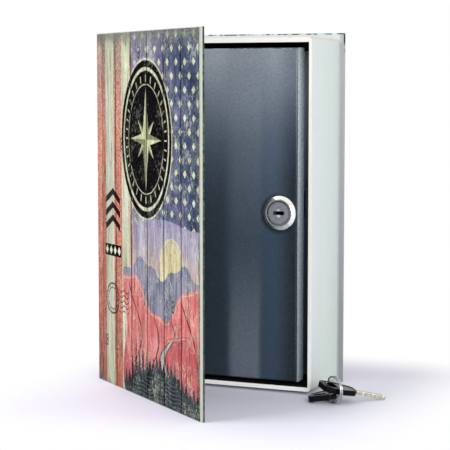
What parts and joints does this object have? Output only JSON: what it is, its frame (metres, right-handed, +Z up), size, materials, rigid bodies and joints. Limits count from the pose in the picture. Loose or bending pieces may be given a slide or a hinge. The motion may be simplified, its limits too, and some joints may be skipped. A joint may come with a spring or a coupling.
{
  "type": "book diversion safe",
  "caption": "Hollow hardback book that stands on a shelf and hides a steel cash box behind its hinged front cover, with an inset lid held by a cam lock, and keys on a split ring.",
  "frame": {"origin": "on the shelf, at the middle of the spine board's bottom edge", "axes": "+X from the spine to the fore-edge, +Y from the front cover to the back cover, +Z up"},
  "size_m": [0.206, 0.1578, 0.24],
  "materials": {
    "printed_wrap": "printed paper with a satin film, weathered planks with faded stripes and a compass rose",
    "lining_paper": "plain uncoated paper, pale grey",
    "grey_board": "raw pressed board, matt",
    "joint_cloth": "printed cloth hinge, matt",
    "page_plastic": "moulded plastic with fine page lines, satin",
    "box_paint": "fine textured powder coat, dark blue-grey",
    "lid_paint": "fine textured powder coat, slate blue-grey",
    "zinc_steel": "bright zinc plate",
    "chrome": "polished chrome plate",
    "plug_metal": "die-cast zinc with fine turning marks",
    "wafer_brass": "stamped brass",
    "key_plastic": "moulded black, glossy",
    "key_nickel": "nickel plate, slightly warm"
  },
  "bodies": {
    "case": {"spine_board": "grey_board", "spine_wrap": "printed_wrap", "back_cover_board": "grey_board", "back_cover_wrap": "printed_wrap", "back_cover_lining": "lining_paper", "back_joint": "joint_cloth", "page_frame": "page_plastic", "safe_box": "box_paint", "box_rivet_1": "zinc_steel", "box_rivet_2": "zinc_steel", "box_rivet_3": "zinc_steel", "box_rivet_4": "zinc_steel", "hinge_pin_top": "zinc_steel", "hinge_pin_bottom": "zinc_steel", "hinge_washer_top": "zinc_steel", "hinge_washer_bottom": "zinc_steel"},
    "front_cover": {"front_cover_board": "grey_board", "front_cover_wrap": "printed_wrap", "front_cover_lining": "lining_paper", "front_joint": "joint_cloth"},
    "lid": {"safe_lid": "lid_paint", "lock_housing": "chrome", "lock_clip": "zinc_steel"},
    "lock": {"lock_plug": "plug_metal", "lock_wafer_1": "wafer_brass", "lock_wafer_2": "wafer_brass", "lock_wafer_3": "wafer_brass", "lock_wafer_4": "wafer_brass", "lock_wafer_5": "wafer_brass", "lock_cam": "zinc_steel", "cam_washer": "zinc_steel", "cam_screw": "zinc_steel"},
    "ring": {"key_ring": "chrome"},
    "key_1": {"key_1_bow": "key_plastic", "key_1_blade": "key_nickel"},
    "key_2": {"key_2_bow": "key_plastic", "key_2_blade": "key_nickel"}
  },
  "joints": [
    {"name": "cover_hinge", "type": "hinge", "parent": "case", "child": "front_cover", "pos_m": [0, -0.0277, 0], "axis": [0, 0, -1], "range_deg": [-39, 141]},
    {"name": "lid_hinge", "type": "hinge", "parent": "case", "child": "lid", "pos_m": [0.01165, -0.0169, 0.1185], "axis": [0, 0, -1], "range_deg": [0, 40]},
    {"name": "lock_turn", "type": "hinge", "parent": "lid", "child": "lock", "pos_m": [0.1318, -0.0224, 0.1205], "axis": [0, 1, 0], "range_deg": [0, 90]},
    {"name": "key_ring_lift", "type": "slide", "parent": "case", "child": "ring", "axis": [0, 0, 1], "range_m": [0, 0.12]},
    {"name": "key_1_swing", "type": "hinge", "parent": "ring", "child": "key_1", "pos_m": [0.172, -0.04, 0.004], "axis": [0, 0, 1], "range_deg": [-6, 6]},
    {"name": "key_2_swing", "type": "hinge", "parent": "ring", "child": "key_2", "pos_m": [0.171, -0.039, 0.008], "axis": [0, 0, 1], "range_deg": [-6, 6]}
  ]
}
